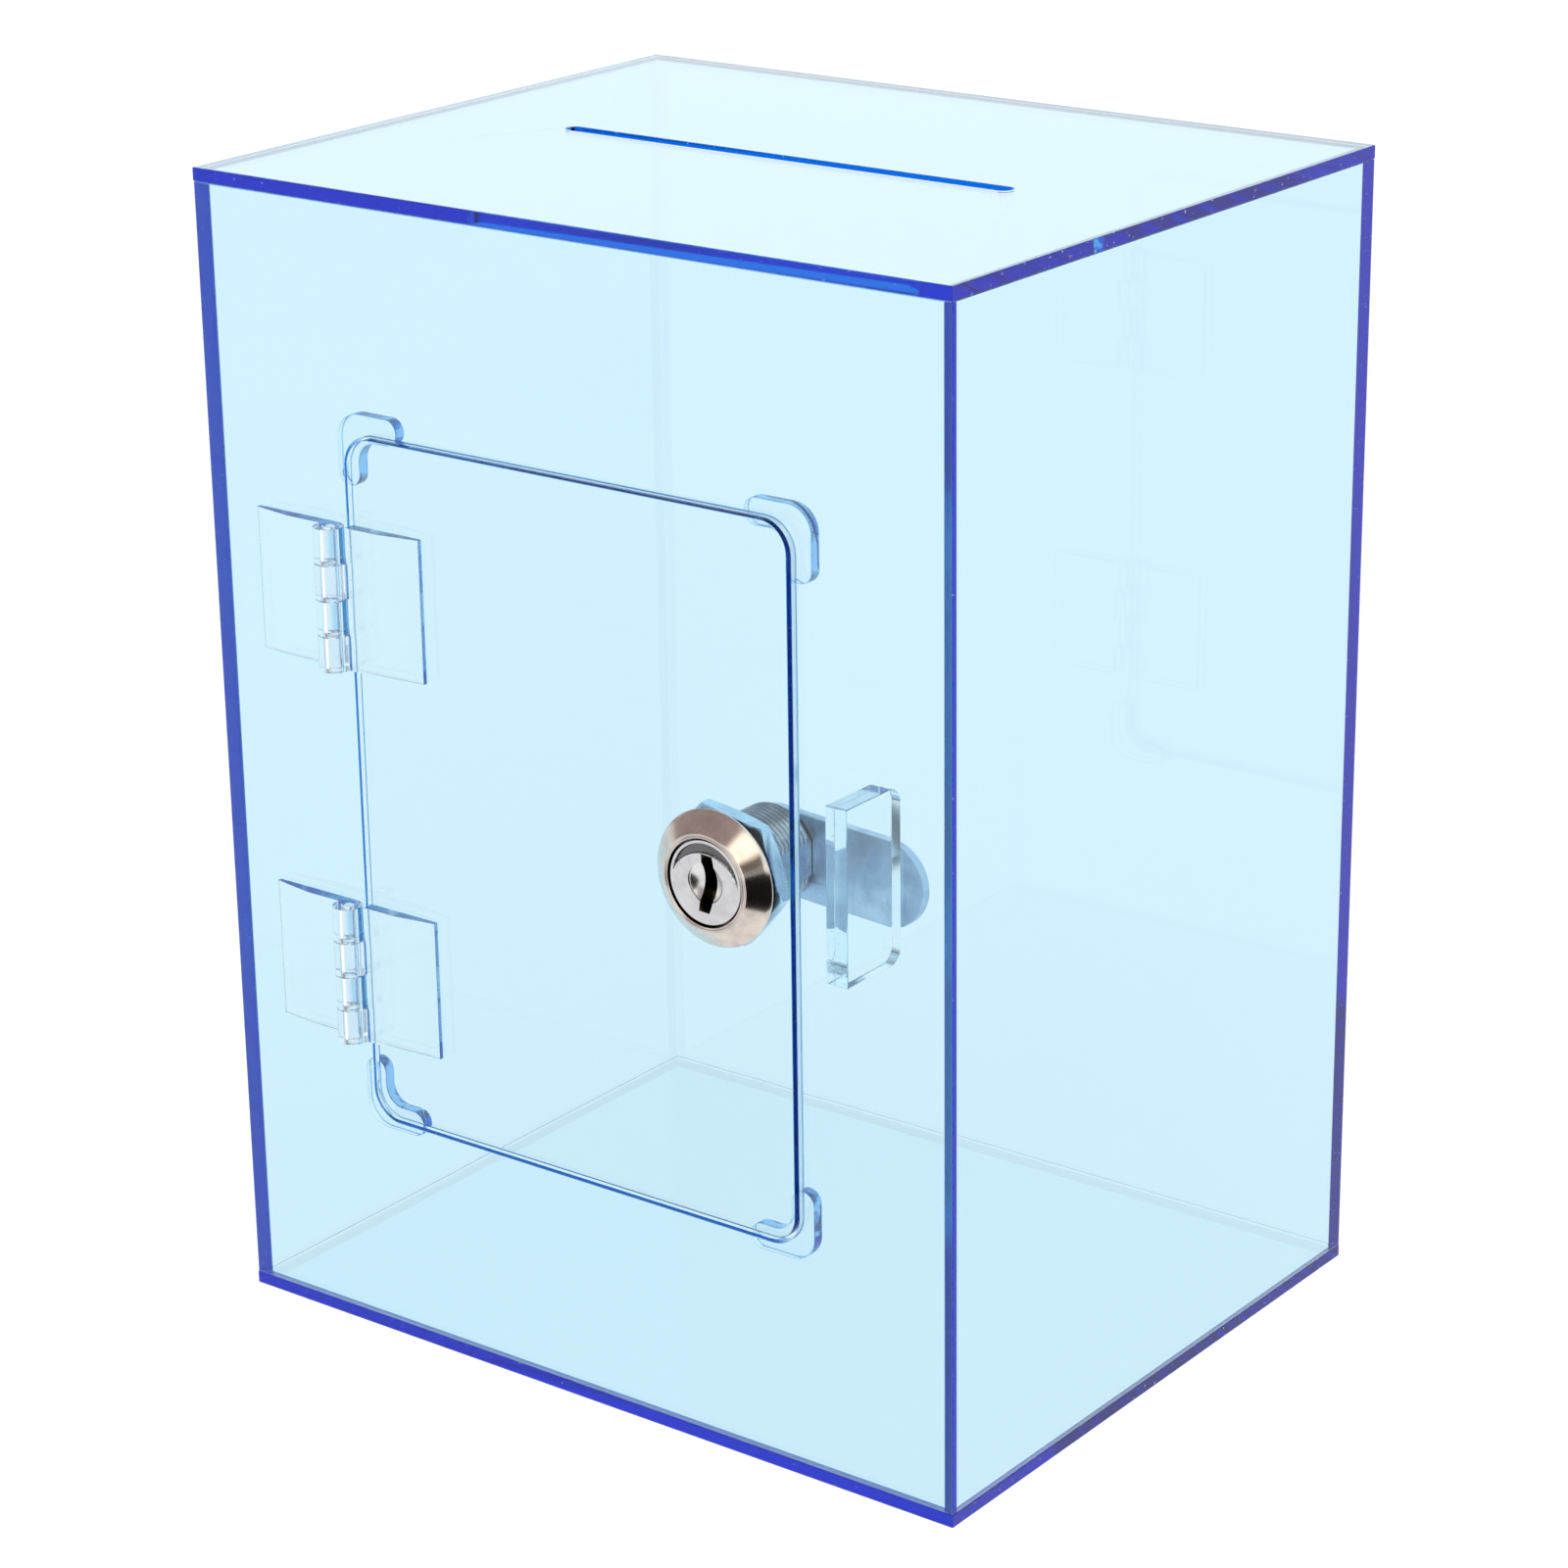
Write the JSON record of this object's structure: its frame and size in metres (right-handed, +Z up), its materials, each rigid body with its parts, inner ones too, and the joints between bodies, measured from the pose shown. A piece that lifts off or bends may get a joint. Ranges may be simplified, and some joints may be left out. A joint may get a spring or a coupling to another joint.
{
  "type": "donation box",
  "caption": "Clear blue acrylic donation box with a slot in its top and a hinged front door held shut by a cam lock.",
  "frame": {"origin": "middle of the underside of the bottom panel, which the box stands on", "axes": "+Z up; -Y towards the user, the way the door and the lock face; +X to the right as seen from the front"},
  "size_m": [0.15, 0.1252, 0.2],
  "materials": {
    "tinted_sheet": "gloss",
    "clear_block": "gloss",
    "clear_hinge": "gloss",
    "satin_nickel": "satin",
    "zinc_plate": "satin",
    "bright_plug": "polished",
    "cam_steel": "satin",
    "wafer_brass": "satin",
    "spring_steel": "satin"
  },
  "bodies": {
    "case": {"top_panel": "tinted_sheet", "bottom_panel": "tinted_sheet", "front_panel": "tinted_sheet", "back_panel": "tinted_sheet", "left_panel": "tinted_sheet", "right_panel": "tinted_sheet", "corner_stop_top_left": "clear_block", "corner_stop_top_right": "clear_block", "corner_stop_bottom_left": "clear_block", "corner_stop_bottom_right": "clear_block", "cam_keeper": "clear_block", "upper_hinge_frame_leaf": "clear_hinge", "upper_hinge_pin": "clear_hinge", "lower_hinge_frame_leaf": "clear_hinge", "lower_hinge_pin": "clear_hinge"},
    "door": {"door_panel": "tinted_sheet", "upper_hinge_door_leaf": "clear_hinge", "lower_hinge_door_leaf": "clear_hinge", "lock_housing": "satin_nickel", "lock_nut": "zinc_plate"},
    "lock_core": {"lock_plug": "bright_plug", "lock_cam": "cam_steel", "cam_washer": "zinc_plate", "cam_screw": "zinc_plate", "wafer_tumbler_1": "wafer_brass", "wafer_tumbler_2": "wafer_brass", "wafer_tumbler_3": "wafer_brass", "wafer_tumbler_4": "wafer_brass", "wafer_tumbler_5": "wafer_brass", "wafer_spring_1": "spring_steel", "wafer_spring_2": "spring_steel", "wafer_spring_3": "spring_steel", "wafer_spring_4": "spring_steel", "wafer_spring_5": "spring_steel"}
  },
  "joints": [
    {"name": "door_swing", "type": "hinge", "parent": "case", "child": "door", "pos_m": [-0.0464, -0.06265, 0.1], "axis": [0, 0, -1], "range_deg": [0, 180]},
    {"name": "lock_turn", "type": "hinge", "parent": "door", "child": "lock_core", "pos_m": [0.03, -0.05, 0.1], "axis": [0, 1, 0], "range_deg": [0, 90]}
  ]
}
